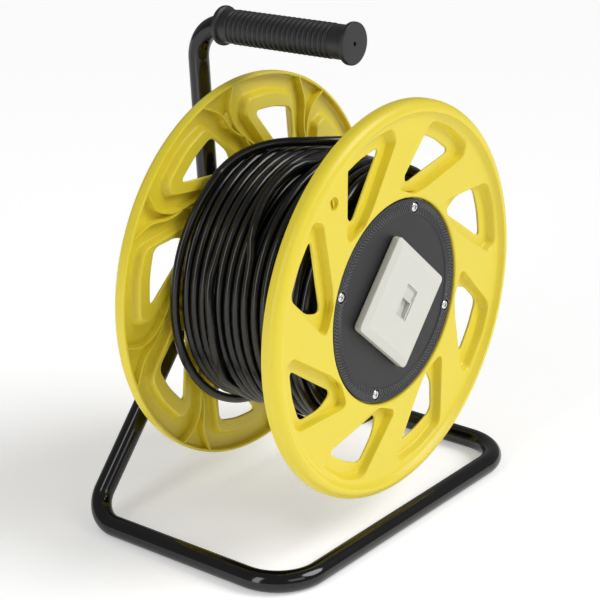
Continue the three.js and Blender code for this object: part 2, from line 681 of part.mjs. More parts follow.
// The socket insert: a shallow finger step above, the open slot below, the channel that the
// shutter slides in behind them, and the plug hole behind the channel.
function jackHousing() {
  const slotZ = CHANNEL_BOTTOM + SLOT_HEIGHT / 2;
  const socketZ = CHANNEL_BOTTOM + 0.6 + SOCKET_HEIGHT / 2;
  const stepHeight = JACK_HEIGHT - SLOT_HEIGHT - 2.5;
  const stepZ = JACK_Z + JACK_HEIGHT / 2 - 0.6 - stepHeight / 2;
  const body = toManifold(block(JACK_WIDTH, JACK_HEIGHT, JACK_FACE, -54, JACK_X, JACK_Z));
  const step = block(JACK_WIDTH - 1.2, stepHeight, JACK_FACE - 1, JACK_FACE + 0.8, JACK_X, stepZ);
  const slot = block(SLOT_WIDTH, SLOT_HEIGHT, JACK_FACE - 1, CHANNEL_BACK, JACK_X, slotZ);
  const channel = block(CHANNEL_WIDTH, CHANNEL_HEIGHT, CHANNEL_FRONT, CHANNEL_BACK, JACK_X, JACK_Z);
  const socketBack = CHANNEL_BACK + SOCKET_DEPTH;
  const socket = block(SOCKET_WIDTH, SOCKET_HEIGHT, CHANNEL_FRONT, socketBack, JACK_X, socketZ);
  return fromManifold(cut(body, ...[step, slot, channel, socket].map(toManifold)));
}

// The shutter covers the plug hole and has a finger lip along its lower edge.
function dustShutter() {
  const front = CHANNEL_FRONT + GAP;
  const z = CHANNEL_BOTTOM + GAP + SHUTTER_HEIGHT / 2;
  const lipZ = z - SHUTTER_HEIGHT / 2 + 1.4;
  const panel = block(CHANNEL_WIDTH - 2 * GAP, SHUTTER_HEIGHT, front, front + SHUTTER_THICKNESS, JACK_X, z);
  const lip = block(SLOT_WIDTH - 3, 1.4, front - 1.6, front + 0.4, JACK_X, lipZ);
  return fromManifold(join(toManifold(panel), toManifold(lip)));
}

addPiece(outlet, 'outlet_cover', outletCover(), whitePlastic());
addPiece(outlet, 'mounting_frame', mountingFrame(), brightSteel());
addPiece(outlet, 'outlet_box', outletBox(), blackPlastic());
addPiece(outlet, 'jack_housing', jackHousing(), whitePlastic());
addPiece(outlet, 'dust_shutter', dustShutter(), whitePlastic());

// ---------- cable ----------
// Inside the drum the lead runs from the outlet box to the grommet in the barrel.
const barrelInside = CORE_RADIUS - CORE_WALL - 2 * GAP;
const grommet = turned([
  [CABLE_RADIUS + GAP, barrelInside - 5.4],
  [7, barrelInside - 5.4],
  [7, barrelInside],
  [CABLE_ENTRY_RADIUS - GAP, barrelInside],
  [CABLE_ENTRY_RADIUS - GAP, CORE_RADIUS],
  [CABLE_RADIUS + GAP, CORE_RADIUS],
], 14);
const innerLead = rod(CABLE_RADIUS, 27, CORE_RADIUS - 1, 10);
for (const [name, shape, material] of [
  ['cable_grommet', grommet, finish(0x1a1a1b, 0.6, 0)],
  ['inner_lead', innerLead, blackCable()],
]) {
  shape.rotateZ(-Math.PI / 2).translate(0, GROMMET_Y, 0);
  addPiece(drum, name, turnedBy(shape, GROMMET_ANGLE), material);
}

// All the turns on the barrel.
const winding = ring(CORE_RADIUS + GAP, WINDING_RADIUS, -WINDING_HALF_WIDTH, WINDING_HALF_WIDTH, 48);
addPiece(drum, 'cable_winding', winding, blackCable());

// The loose end crosses the turns towards the front flange and lifts off them.
// [degrees from the top towards +X, y, distance from the axis]
const tailRoute = [
  [-34, 51, 104.8], [-30, 50.6, 104.8], [-26, 49.7, 104.8], [-22, 48.2, 104.8], [-18, 46, 104.8],
  [-14, 43.2, 104.8], [-10.5, 40, 104.8], [-7, 36, 104.8], [-4, 31.5, 104.9], [-1, 26.5, 104.9],
  [2, 20.5, 105], [5.5, 14.5, 105.2], [9.5, 9, 105.6], [13.5, 4.5, 106.4], [18, 0.5, 107.6],
].map(([degrees, y, radius]) => {
  const angle = THREE.MathUtils.degToRad(degrees);
  return new THREE.Vector3(radius * Math.sin(angle), y, radius * Math.cos(angle));
});
const tailCurve = new THREE.CatmullRomCurve3(tailRoute);
const tailShape = new THREE.Shape(circle(CABLE_RADIUS, 10));
const tail = new THREE.ExtrudeGeometry(tailShape, { steps: 10, extrudePath: tailCurve });
addPiece(drum, 'cable_tail', tail, blackCable());

const tailEnd = tailRoute[tailRoute.length - 1];
const plugDirection = tailCurve.getTangent(1);
const plugGroup = new THREE.Group();
plugGroup.position.copy(tailEnd);
plugGroup.quaternion.setFromUnitVectors(new THREE.Vector3(0, 1, 0), plugDirection);
drum.add(plugGroup);
const boot = turned([[0, GAP], [4.4, GAP], [5, 8], [5, BOOT_LENGTH], [0, BOOT_LENGTH]], 12);
addPiece(plugGroup, 'plug_boot', boot, blackPlastic());
const plugBody = block(PLUG_WIDTH, PLUG_HEIGHT, BOOT_LENGTH + GAP, BOOT_LENGTH + PLUG_LENGTH);
addPiece(plugGroup, 'plug_body', plugBody, finish(0xdfe4e6, 0.1, 0));

export default reel;
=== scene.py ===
import math

import bmesh
import bpy
import numpy as np
from mathutils import Matrix, Vector, geometry


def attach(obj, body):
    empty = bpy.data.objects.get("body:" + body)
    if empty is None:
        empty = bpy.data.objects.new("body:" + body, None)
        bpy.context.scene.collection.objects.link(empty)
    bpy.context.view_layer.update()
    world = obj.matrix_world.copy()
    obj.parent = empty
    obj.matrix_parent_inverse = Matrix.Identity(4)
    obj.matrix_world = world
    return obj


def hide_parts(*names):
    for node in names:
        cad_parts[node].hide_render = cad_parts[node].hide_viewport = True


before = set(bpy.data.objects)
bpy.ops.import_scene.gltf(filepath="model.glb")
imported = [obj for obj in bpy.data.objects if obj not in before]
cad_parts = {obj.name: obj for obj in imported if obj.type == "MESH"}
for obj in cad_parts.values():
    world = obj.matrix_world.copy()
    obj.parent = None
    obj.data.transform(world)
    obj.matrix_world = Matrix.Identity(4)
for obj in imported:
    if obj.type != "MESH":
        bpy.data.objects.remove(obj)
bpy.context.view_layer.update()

# ---------------------------------------------------------------- studio
# A pale floor that runs on out of view under a bright surrounding. A broad soft light comes from
# the front right and above, and a tall strip at the left picks out the rims and the tubes.
scene = bpy.context.scene
scene.view_settings.view_transform = "Standard"

floor_half = 6.0
floor_mesh = bpy.data.meshes.new("floor")
floor_corners = [(-floor_half, -floor_half, 0), (floor_half, -floor_half, 0)]
floor_corners += [(floor_half, floor_half, 0), (-floor_half, floor_half, 0)]
floor_mesh.from_pydata(floor_corners, [], [(0, 1, 2, 3)])
floor = bpy.data.objects.new("floor", floor_mesh)
floor_finish = bpy.data.materials.new("pale floor")
floor_finish.use_nodes = True
floor_shader = floor_finish.node_tree.nodes["Principled BSDF"]
floor_shader.inputs["Base Color"].default_value = (0.95, 0.95, 0.95, 1)
floor_shader.inputs["Roughness"].default_value = 0.8
floor_shader.inputs["Emission Color"].default_value = (1, 1, 1, 1)
floor_shader.inputs["Emission Strength"].default_value = 0.34
floor_mesh.materials.append(floor_finish)
scene.collection.objects.link(floor)

world = bpy.data.worlds.new("studio surroundings")
world.use_nodes = True
backdrop = world.node_tree.nodes["Background"]
backdrop.inputs["Color"].default_value = (1, 1, 1, 1)
direct = world.node_tree.nodes.new("ShaderNodeLightPath")
level = world.node_tree.nodes.new("ShaderNodeMapRange")
level.inputs["To Min"].default_value = 0.25
level.inputs["To Max"].default_value = 1.0
world.node_tree.links.new(direct.outputs["Is Camera Ray"], level.inputs["Value"])
world.node_tree.links.new(level.outputs["Result"], backdrop.inputs["Strength"])
scene.world = world


def soft_light(name, place, aim, size, power):
    lamp = bpy.data.lights.new(name, "AREA")
    lamp.shape = "RECTANGLE"
    lamp.size, lamp.size_y = size
    lamp.energy = power
    light = bpy.data.objects.new(name, lamp)
    light.location = place
    light.rotation_mode = "QUATERNION"
    light.rotation_quaternion = (Vector(aim) - Vector(place)).to_track_quat("-Z", "Y")
    scene.collection.objects.link(light)


reel_middle = (0, 0, 0.18)
soft_light("left strip", (-1.5, 0.0, 0.75), reel_middle, (0.35, 1.5), 7)
soft_light("front panel", (-0.5, -1.6, 1.0), reel_middle, (0.9, 0.6), 3)

key_lamp = bpy.data.lights.new("key light", "SUN")
key_lamp.energy = 1.85
key_lamp.angle = math.radians(35)
key_light = bpy.data.objects.new("key light", key_lamp)
key_light.rotation_mode = "QUATERNION"
key_light.rotation_quaternion = Vector((-0.8, 1.25, -1.35)).to_track_quat("-Z", "Y")
scene.collection.objects.link(key_light)

# ---------------------------------------------------------------- camera
# A long lens some way off, held level. It looks from the front left and from a little above the
# drum, where the outlet plate, the wound cable and the hand grip all show.
HUB = Vector((0, -0.0166, 0.1791))     # middle of the drum, on its axis
CAMERA_FROM_HUB = Vector((-1.10199, -0.82680, 0.51141))
view_azimuth, view_elevation = math.radians(-52.5), math.radians(20.91)
view_back = Vector((
    math.sin(view_azimuth) * math.cos(view_elevation),
    -math.cos(view_azimuth) * math.cos(view_elevation),
    math.sin(view_elevation),
))
camera_data = bpy.data.cameras.new("camera")
camera_data.lens = 117.08
camera_data.sensor_width = 36
camera_data.clip_start = 0.05
camera = bpy.data.objects.new("camera", camera_data)
camera.location = HUB + CAMERA_FROM_HUB
camera.rotation_mode = "QUATERNION"
camera.rotation_quaternion = (-view_back).to_track_quat("-Z", "Y")
scene.collection.objects.link(camera)
scene.camera = camera

# ---------------------------------------------------------------- cable
# One length of round data cable, about 25 m of it. It leaves the grommet in the barrel, winds on
# in three layers, and its loose end crosses the top layer to a plug behind the front flange.
CABLE_RADIUS = 0.0035
LAYER_RADII = (0.0848, 0.0909, 0.0970)
WOUND_ENDS = ((-0.052, 0.054), (0.054, -0.054), (-0.054, 0.0535))
FULL_LAYER_TURNS = (14.5, 15.0)        # in the two layers under the top one
WHOLE_TURNS = 42                       # whole turns between the grommet and the loose end
GROMMET_AT = 130.4                     # degrees from the top of the drum towards +X
COMES_AWAY_AT = -230.0                 # the same, where the last turn starts to lift
CLIMB = 40.0                           # degrees of turn in which the cable climbs a layer
RIDE_HEIGHT = 0.0062                   # how far a turn lifts to cross the one beside it
STEPS_PER_TURN = 60

# the loose end: degrees from the top towards +X, distance along the axis, distance from it
loose_end = [
    (-34, 0.0510, 0.1048), (-30, 0.0506, 0.1048), (-26, 0.0497, 0.1048), (-22, 0.0482, 0.1048),
    (-18, 0.0460, 0.1048), (-14, 0.0432, 0.1048), (-10.5, 0.0400, 0.1048), (-7, 0.0360, 0.1048),
    (-4, 0.0315, 0.1049), (-1, 0.0265, 0.1049), (2, 0.0205, 0.1050), (5.5, 0.0145, 0.1052),
    (9.5, 0.0090, 0.1056), (13.5, 0.0045, 0.1064), (18, 0.0005, 0.1076),
]
# turns of the top layer that ride over the next one for part of the way round:
# turn counted from the front, where, half its length in degrees, and how far it moves along
ridden_over = [
    (10.0, -100, 42, -0.0060), (7.0, -35, 34, 0.0058), (4.0, -135, 36, 0.0060),
    (12.0, 60, 45, -0.0056), (2.0, 150, 40, 0.0058),
]


def smooth(t):
    t = min(max(t, 0.0), 1.0)
    return t * t * (3 - 2 * t)


def around_drum(degrees, along, radius):
    angle = math.radians(degrees)
    return HUB + Vector((radius * math.sin(angle), along, radius * math.cos(angle)))


def wound_turns():
    """The centreline on the barrel, layer by layer, ending where the loose end takes over."""
    turns = list(FULL_LAYER_TURNS)
    turns.append((COMES_AWAY_AT - GROMMET_AT) / 360 % 1 + WHOLE_TURNS - sum(turns))
    points = []
    at = GROMMET_AT
    for layer, (count, (start, stop)) in enumerate(zip(turns, WOUND_ENDS)):
        steps = round(count * STEPS_PER_TURN)
        for i in range(steps):
            t = i / steps
            degrees = at + 360 * count * t
            along = start + (stop - start) * t
            radius = LAYER_RADII[layer]
            before = LAYER_RADII[layer - 1] if layer else radius
            radius = before + (radius - before) * smooth(360 * count * t / CLIMB)
            turn = math.radians(degrees)
            slack = smooth(min(t, 1 - t) * 8)
            if layer == 2:
                along += 0.0010 * slack * math.sin(turn + 0.3 * count * t)
                along += 0.0006 * slack * math.sin(2.0 * turn + 0.5 * count * t + 1.0)
                radius += 0.0005 * slack * math.sin(1.31 * turn + 2.0)
                for number, where, reach, shift in ridden_over:
                    turn_start = at + 360 * (number - (at - where) / 360 % 1)
                    lift = smooth(1 - abs(degrees - turn_start) / reach)
                    along += shift * lift
                    radius += RIDE_HEIGHT * smooth(2.2 * lift)
            points.append(around_drum(degrees, along, radius))
        at += 360 * count
    return points


def through(points, steps):
    """A smooth line through given points."""
    line = []
    count = len(points)
    for i in range(count - 1):
        p0 = points[max(i - 1, 0)]
        p1, p2 = points[i], points[i + 1]
        p3 = points[min(i + 2, count - 1)]
        for k in range(steps):
            t = k / steps
            line.append(0.5 * (
                2 * p1 + (p2 - p0) * t + (2 * p0 - 5 * p1 + 4 * p2 - p3) * t * t
                + (3 * p1 - p0 - 3 * p2 + p3) * t ** 3
            ))
    line.append(points[-1])
    return line


cable_line = wound_turns()
last_wound = cable_line[-1]
loose_points = [around_drum(*place) for place in loose_end]
# the outermost turn, which lifts off the top layer and runs round beside the rear flange
rising = [around_drum(*place) for place in (
    (-216, 0.0538, 0.0980), (-203, 0.0541, 0.1008), (-190, 0.0543, 0.1034), (-176, 0.0543, 0.1043),
    (-160, 0.0543, 0.1045), (-144, 0.0542, 0.1045), (-128, 0.0541, 0.1045), (-112, 0.0539, 0.1046),
    (-96, 0.0537, 0.1046), (-80, 0.0533, 0.1047), (-64, 0.0528, 0.1048), (-48, 0.0520, 0.1048),
)]
cable_line += through([last_wound, *rising, *loose_points], 5)[1:]

cable_curve = bpy.data.curves.new("cable", "CURVE")
cable_curve.dimensions = "3D"
cable_curve.bevel_depth = 1.0          # each point's own radius is the cable's
cable_curve.bevel_resolution = 4
cable_curve.use_fill_caps = True
cable_spline = cable_curve.splines.new("POLY")
cable_spline.points.add(len(cable_line) - 1)
for spline_point, place in zip(cable_spline.points, cable_line):
    spline_point.co = (*place, 1)
    spline_point.radius = CABLE_RADIUS
cable_spline.use_smooth = True
cable = bpy.data.objects.new("cable", cable_curve)
scene.collection.objects.link(cable)
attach(cable, "drum")
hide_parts("cable_winding", "cable_tail")


def socket(group, name, kind, default, into=True):
    item = group.interface.new_socket(name, in_out="INPUT" if into else "OUTPUT", socket_type=kind)
    if into:
        item.default_value = default


def make_grain_group():
    """Fine mottling, uneven gloss and surface grain, for anything moulded, painted or extruded."""
    group = bpy.data.node_groups.new("surface grain", "ShaderNodeTree")
    socket(group, "Colour", "NodeSocketColor", (0.8, 0.8, 0.8, 1))
    socket(group, "Colour Variation", "NodeSocketFloat", 0.04)
    socket(group, "Roughness", "NodeSocketFloat", 0.4)
    socket(group, "Roughness Variation", "NodeSocketFloat", 0.06)
    socket(group, "Grain Scale", "NodeSocketFloat", 2500.0)
    socket(group, "Blotch Scale", "NodeSocketFloat", 35.0)
    socket(group, "Colour", "NodeSocketColor", None, into=False)
    socket(group, "Roughness", "NodeSocketFloat", None, into=False)
    socket(group, "Height", "NodeSocketFloat", None, into=False)
    nodes, links = group.nodes, group.links
    given = nodes.new("NodeGroupInput")
    result = nodes.new("NodeGroupOutput")
    place = nodes.new("ShaderNodeTexCoord")
    blotch = nodes.new("ShaderNodeTexNoise")
    blotch.inputs["Detail"].default_value = 4
    grain = nodes.new("ShaderNodeTexNoise")
    grain.inputs["Detail"].default_value = 3
    for noise, scale in ((blotch, "Blotch Scale"), (grain, "Grain Scale")):
        links.new(place.outputs["Object"], noise.inputs["Vector"])
        links.new(given.outputs[scale], noise.inputs["Scale"])

    def centred(amount):
        """The blotches about nought, times an amount."""
        offset = nodes.new("ShaderNodeMath")
        offset.operation = "SUBTRACT"
        links.new(blotch.outputs["Fac"], offset.inputs[0])
        offset.inputs[1].default_value = 0.5
        scaled = nodes.new("ShaderNodeMath")
        scaled.operation = "MULTIPLY"
        links.new(offset.outputs[0], scaled.inputs[0])
        links.new(given.outputs[amount], scaled.inputs[1])
        return scaled

    value = nodes.new("ShaderNodeMath")
    value.operation = "ADD"
    value.inputs[1].default_value = 1.0
    links.new(centred("Colour Variation").outputs[0], value.inputs[0])
    tint = nodes.new("ShaderNodeHueSaturation")
    links.new(given.outputs["Colour"], tint.inputs["Color"])
    links.new(value.outputs[0], tint.inputs["Value"])
    links.new(tint.outputs["Color"], result.inputs["Colour"])
    gloss = nodes.new("ShaderNodeMath")
    gloss.operation = "ADD"
    links.new(centred("Roughness Variation").outputs[0], gloss.inputs[0])
    links.new(given.outputs["Roughness"], gloss.inputs[1])
    links.new(gloss.outputs[0], result.inputs["Roughness"])
    links.new(grain.outputs["Fac"], result.inputs["Height"])
    return group


surface_grain = make_grain_group()


def grained(name, colour, roughness, colour_variation=0.05, roughness_variation=0.08,
            grain=2500.0, blotch=35.0, bump=0.15, bump_depth=0.00005, metallic=0.0):
    """A material whose colour, gloss and bump come from the surface grain group."""
    material = bpy.data.materials.new(name)
    material.use_nodes = True
    nodes, links = material.node_tree.nodes, material.node_tree.links
    shader = nodes["Principled BSDF"]
    effect = nodes.new("ShaderNodeGroup")
    effect.node_tree = surface_grain
    effect.inputs["Colour"].default_value = (*colour, 1)
    effect.inputs["Colour Variation"].default_value = colour_variation
    effect.inputs["Roughness"].default_value = roughness
    effect.inputs["Roughness Variation"].default_value = roughness_variation
    effect.inputs["Grain Scale"].default_value = grain
    effect.inputs["Blotch Scale"].default_value = blotch
    relief = nodes.new("ShaderNodeBump")
    relief.inputs["Strength"].default_value = bump
    relief.inputs["Distance"].default_value = bump_depth
    links.new(effect.outputs["Colour"], shader.inputs["Base Color"])
    links.new(effect.outputs["Roughness"], shader.inputs["Roughness"])
    links.new(effect.outputs["Height"], relief.inputs["Height"])
    links.new(relief.outputs["Normal"], shader.inputs["Normal"])
    shader.inputs["Metallic"].default_value = metallic
    shader.inputs["IOR"].default_value = 1.5
    return material


sheath = grained("black cable sheath", (0.004, 0.004, 0.0045), 0.22, grain=1600, blotch=60,
                 colour_variation=0.25, roughness_variation=0.12, bump=0.25)
cable_curve.materials.append(sheath)

# ---------------------------------------------------------------- flanges
# Two equal injection mouldings in satin yellow plastic. Each has a rounded rim, eight swept
# windows with a sunk ledge round them, and ribs across the hollow back of every spoke.
FACE = -0.0708                         # flat of the web; the measures below are depths behind it
CREST = -0.0041
WEB = 0.0026
LEDGE = 0.0063
LEDGE_BACK = 0.0087
INSIDE = 0.0082
SEAT = 0.0049
RIM_RADIUS = 0.150
FIRST_WINDOW = 68.0                    # degrees of the first window's middle, from +X towards +Z
REAR_FLANGE_TURN = -52.0               # degrees that the rear flange is turned from the front one

# corners of one window, in millimetres, as (across, out from the axis, how round)
window_corners = [
    (-17.6, 84.2, 7), (-19.9, 101, 22), (-11.5, 123.4, 9), (10, 122.6, 60), (32.6, 117.2, 3.2),
    (4, 98.6, 90),
]
ledge_corners = [
    (-32.5, 80.6, 5), (-9.5, 131.0, 9), (14, 131.5, 60), (40.5, 124.0, 5), (40.5, 114.6, 4),
    (1, 86.6, 40), (-12, 80.4, 10),
]
opening_corners = [
    (-34.3, 79.4, 6), (-10.8, 135.0, 12), (14.5, 135.8, 70), (45.0, 127.2, 7), (45.0, 115.4, 6),
    (3, 86.6, 40), (-11.0, 79.4, 12),
]


def rounded(corners, arc_steps=9, straight_steps=3):
    """A closed outline in millimetres, its corners eased by quadratic arcs."""
    outline = []
    count = len(corners)
    ends = []
    for i, (x, z, radius) in enumerate(corners):
        here = np.array((x, z), float)
        back = np.array(corners[i - 1][:2], float) - here
        ahead = np.array(corners[(i + 1) % count][:2], float) - here
        reach_back, reach_ahead = np.linalg.norm(back), np.linalg.norm(ahead)
        back, ahead = back / reach_back, ahead / reach_ahead
        half = math.acos(max(-1, min(1, float(back @ ahead)))) / 2
        reach = min(radius / math.tan(half), 0.46 * reach_back, 0.46 * reach_ahead)
        ends.append((here + back * reach, here, here + ahead * reach))
    for i, (start, corner, stop) in enumerate(ends):
        for k in range(arc_steps + 1):
            t = k / arc_steps
            outline.append((1 - t) ** 2 * start + 2 * t * (1 - t) * corner + t * t * stop)
        following = ends[(i + 1) % count][0]
        for k in range(1, straight_steps):
            outline.append(stop + (following - stop) * k / straight_steps)
    return np.array(outline)


def grown(outline, distance):
    """The outline moved outwards along its own normals."""
    along = np.roll(outline, -1, 0) - np.roll(outline, 1, 0)
    along /= np.linalg.norm(along, axis=1)[:, None]
    turn = np.roll(outline, -1, 0)
    area = np.sum(outline[:, 0] * turn[:, 1] - turn[:, 0] * outline[:, 1])
    outward = np.stack([along[:, 1], -along[:, 0]], 1) * np.sign(area)
    return outline + outward * distance


def swung(outline, degrees):
    """Turned about the axis, counter-clockwise as seen from the front."""
    angle = math.radians(degrees)
    turn = np.array([[math.cos(angle), -math.sin(angle)], [math.sin(angle), math.cos(angle)]])
    return outline @ turn.T


def ring_of(radius, sides):
    angles = 2 * math.pi * np.arange(sides) / sides
    return np.stack([radius * np.cos(angles), radius * np.sin(angles)], 1)


def inside_outline(point, outline):
    x, z = point
    after = np.roll(outline, -1, 0)
    crosses = (outline[:, 1] > z) != (after[:, 1] > z)
    rise = np.where(after[:, 1] == outline[:, 1], 1e-12, after[:, 1] - outline[:, 1])
    at = (after[:, 0] - outline[:, 0]) * (z - outline[:, 1]) / rise + outline[:, 0]
    return bool(np.sum(crosses & (x < at)) % 2)


class Moulding:
    """Collects the faces of one moulded piece, in millimetres and in metres on leaving."""

    def __init__(self):
        self.points = []
        self.faces = []

    def row(self, outline, depth):
        first = len(self.points)
        self.points += [(x, depth, z) for x, z in outline]
        return list(range(first, len(self.points)))

    def skin(self, rows):
        for lower, upper in zip(rows, rows[1:]):
            count = len(lower)
            for i in range(count):
                k = (i + 1) % count
                self.faces.append((lower[i], lower[k], upper[k], upper[i]))

    def flat(self, outer, holes, depth):
        """Fills the flat between an outline and the holes in it."""
        loops = [outer, *holes]
        places, edges = [], []
        for loop in loops:
            first = len(places)
            places += [Vector((float(x), float(z))) for x, z in loop]
            edges += [(first + i, first + (i + 1) % len(loop)) for i in range(len(loop))]
        made = geometry.delaunay_2d_cdt(places, edges, [], 1, 1e-5)
        first = len(self.points)
        self.points += [(p.x, depth, p.y) for p in made[0]]
        for face in made[2]:
            middle = np.mean([made[0][i] for i in face], axis=0)
            if not inside_outline(middle, outer):
                continue
            if any(inside_outline(middle, hole) for hole in holes):
                continue
            self.faces.append([first + i for i in face])

    def turn(self, profile, sides):
        self.skin([self.row(ring_of(radius, sides), depth) for radius, depth in profile])

    def metres(self):
        return [(x * 0.001, y * 0.001, z * 0.001) for x, y, z in self.points]


def eased(first, last, steps=9):
    """Depths and shares of the way for a wall with a soft edge at its top and at its foot."""
    return [(first + (last - first) * smooth(k / steps), k / steps) for k in range(steps + 1)]


def rib_wall(moulding, places, foot, top):
    """A thin moulded rib along polar places (degrees, radius), slightly thicker at its foot."""
    line = []
    for degrees, radius in places:
        angle = math.radians(degrees)
        line.append(Vector((radius * math.cos(angle), radius * math.sin(angle), 0)))
    line = through(line, 6)
    sections = []
    for i, here in enumerate(line):
        along = (line[min(i + 1, len(line) - 1)] - line[max(i - 1, 0)]).normalized()
        side = Vector((-along.y, along.x, 0))
        section = []
        for half, depth in ((1.7, foot), (1.1, foot + 1.0), (0.8, top - 0.5), (0.5, top),
                            (-0.5, top), (-0.8, top - 0.5), (-1.1, foot + 1.0), (-1.7, foot)):
            p = here + side * half
            section.append((p.x, depth, p.y))
        first = len(moulding.points)
        moulding.points += section
        sections.append(list(range(first, first + len(section))))
    moulding.skin(sections)
    moulding.faces.append(sections[0])
    moulding.faces.append(sections[-1][::-1])


# degrees from the middle of the spoke, and distance from the axis
rib_lines = (
    ((-16, 148), (-10, 133), (-5.5, 115), (4, 100), (12, 90), (18, 80.5)),
    ((-2.4, 148.5), (-5, 132), (-4, 118), (0, 106), (4, 96), (6, 86), (7, 80.5)),
)


def trimmed(holes, limit):
    """Outlines kept just inside the land's own edge."""
    kept = []
    for hole in holes:
        radius = np.linalg.norm(hole, axis=1)
        kept.append(hole * np.minimum(1, (limit - 0.05) / radius)[:, None])
    return kept


def flange_moulding():
    m = Moulding()
    face = FACE * 1000
    crest, web, ledge = CREST * 1000, WEB * 1000, LEDGE * 1000
    ledge_back, inside, seat = LEDGE_BACK * 1000, INSIDE * 1000, SEAT * 1000
    rim = RIM_RADIUS * 1000
    window, shelf, opening = rounded(window_corners), rounded(ledge_corners), rounded(opening_corners)
    front_holes, back_holes = [], []
    for k in range(8):
        turn = FIRST_WINDOW - 90 + 45 * k
        wall = []
        for depth, share in eased(ledge, 0):
            wall.append(m.row(swung(shelf + (opening - shelf) * share, turn), face + depth))
        m.skin(wall)
        front_holes.append(swung(opening, turn))
        lip = ((1.5, ledge), (0.75, ledge + 0.15), (0.22, ledge + 0.5), (0, ledge + 1.0),
               (0, ledge_back - 0.9), (0.25, ledge_back - 0.4), (0.7, ledge_back - 0.1), (1.2, ledge_back))
        m.skin([m.row(swung(grown(window, out), turn), face + depth) for out, depth in lip])
        m.flat(swung(shelf, turn), [swung(grown(window, 1.5), turn)], face + ledge)
        plateau, foot = grown(shelf, 1.0), grown(opening, 1.8)
        m.flat(swung(plateau, turn), [swung(grown(window, 1.2), turn)], face + ledge_back)
        wall = []
        for depth, share in eased(ledge_back, web):
            wall.append(m.row(swung(plateau + (foot - plateau) * share, turn), face + depth))
        m.skin(wall)
        back_holes.append(swung(foot, turn))

    # the blind dimple on the flat land beside one window
    dimple = ring_of(4.75, 32) + np.array([-78.2, 95.6])
    m.skin([m.row(grown(dimple, out), face + depth) for out, depth in
            ((0.5, 0), (0.15, 0.12), (0, 0.5), (0, 3.9), (-0.3, 4.3))])
    m.flat(grown(dimple, -0.3), [], face + 4.3)
    m.skin([m.row(grown(dimple, out), face + depth) for out, depth in
            ((3.0, web), (2.2, web + 0.4), (1.9, web + 1.2), (1.7, 6.0), (1.2, 6.5))])
    m.flat(grown(dimple, 1.2), [], face + 6.5)

    sides = 256
    land_edge, inner_edge = 136.0, 79.4
    land_holes = [ring_of(inner_edge, sides), grown(dimple, 0.5), *trimmed(front_holes, land_edge)]
    m.flat(ring_of(land_edge, sides), land_holes, face)
    rim_profile = [(land_edge, 0), (137.4, -0.2), (138.6, -0.9), (139.6, -1.9), (140.9, -3.2)]
    for i in range(13):
        angle = math.radians(-8 + 98 * i / 12)
        rim_profile.append((rim - 7.5 + 7.5 * math.sin(angle), crest + 7.5 - 7.5 * math.cos(angle)))
    rim_profile += [(rim, 7.2), (rim - 0.25, 7.9), (rim - 0.9, inside), (rim - 1.9, inside),
                    (rim - 2.45, inside - 0.4), (rim - 2.6, inside - 1), (rim - 2.7, 4.8),
                    (rim - 3.2, 3.4), (rim - 4.6, web)]
    m.turn([(r, face + d) for r, d in rim_profile], sides)
    hub_profile = [(inner_edge, 0), (78.6, 0.25), (78.1, 0.7), (77.9, 1.4), (77.8, seat), (66, seat),
                   (66, inside), (81, inside), (81.4, inside - 0.4), (81.6, web + 1), (82.6, web)]
    m.turn([(r, face + d) for r, d in hub_profile], sides)
    back_web_holes = [ring_of(82.6, sides), grown(dimple, 3.0), *back_holes]
    m.flat(ring_of(rim - 4.6, sides), back_web_holes, face + web)

    for k in range(8):
        spoke = FIRST_WINDOW - 22.5 + 45 * k
        for line in rib_lines:
            rib_wall(m, [(spoke + a, r) for a, r in line], face + web - 0.2, face + inside)
    return m


def at_hub(place=Matrix.Identity(4)):
    return Matrix.Translation(HUB) @ place


def new_piece(name, points, faces, materials, body, node, sharp=35, place=None, second=()):
    """A piece from its points and faces; the faces listed in second take the second material."""
    mesh = bpy.data.meshes.new(name)
    mesh.from_pydata([tuple(p) for p in points], [], faces)
    for material in materials:
        mesh.materials.append(material)
    for face in second:
        mesh.polygons[face].material_index = 1
    if place is not None:
        mesh.transform(place)
    cleaned = bmesh.new()
    cleaned.from_mesh(mesh)
    bmesh.ops.remove_doubles(cleaned, verts=cleaned.verts, dist=0.000002)
    bmesh.ops.dissolve_degenerate(cleaned, edges=cleaned.edges, dist=0.0000005)
    bmesh.ops.recalc_face_normals(cleaned, faces=cleaned.faces)
    cleaned.to_mesh(mesh)
    cleaned.free()
    piece = bpy.data.objects.new(name, mesh)
    scene.collection.objects.link(piece)
    mesh.shade_smooth()
    mesh.set_sharp_from_angle(angle=math.radians(sharp))
    flatten = piece.modifiers.new("even shading", "WEIGHTED_NORMAL")
    flatten.keep_sharp = True
    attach(piece, body)
    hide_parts(node)


yellow = grained("yellow moulded plastic", (0.80, 0.655, 0.040), 0.38, colour_variation=0.05,
                 roughness_variation=0.07, grain=1900, blotch=22, bump=0.10)
yellow_shader = yellow.node_tree.nodes["Principled BSDF"]
yellow_shader.inputs["Subsurface Weight"].default_value = 0.08
yellow_shader.inputs["Subsurface Radius"].default_value = (0.004, 0.002, 0.0004)
yellow_shader.inputs["Subsurface Scale"].default_value = 1.0

moulded = flange_moulding()
facing_back = Matrix.Rotation(math.radians(REAR_FLANGE_TURN), 4, "Y") @ Matrix.Rotation(math.pi, 4, "Z")
for flange_name, turn in (("front_flange", Matrix.Identity(4)), ("rear_flange", facing_back)):
    new_piece(flange_name + "_moulding", moulded.metres(), moulded.faces, [yellow], "drum",
              flange_name, place=at_hub(turn))

